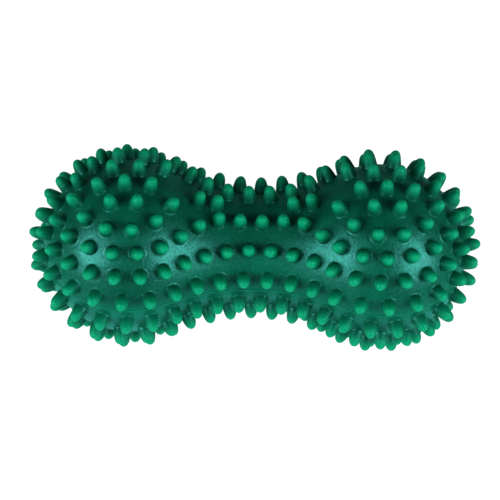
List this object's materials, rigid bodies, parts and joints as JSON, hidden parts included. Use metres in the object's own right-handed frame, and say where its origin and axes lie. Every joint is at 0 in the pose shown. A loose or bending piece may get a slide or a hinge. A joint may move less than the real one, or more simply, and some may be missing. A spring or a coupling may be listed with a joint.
{
  "type": "massage ball",
  "caption": "Peanut-shaped hollow massage ball of soft plastic, two round lobes joined by a waist, covered with blunt spikes, with a plug valve under the waist.",
  "frame": {"origin": "centre of the body: middle of the waist, on the long axis and in the mould's parting plane", "axes": "+X along the long axis through both lobes; +Z square to the mould's parting plane, away from the air valve"},
  "size_m": [0.1592, 0.0709, 0.072],
  "materials": {
    "skin_pvc": "semi-gloss soft PVC, deep emerald green, moulded in one shot",
    "valve_pvc": "satin soft PVC, a little darker than the skin",
    "plug_pvc": "satin firm PVC, green"
  },
  "bodies": {
    "ball": {"skin": "skin_pvc", "valve_seat": "valve_pvc"},
    "plug": {"valve_plug": "plug_pvc"}
  },
  "joints": [
    {"name": "valve_plug_pull", "type": "slide", "parent": "ball", "child": "plug", "axis": [0, 0, -1], "range_m": [0, 0.012]}
  ]
}
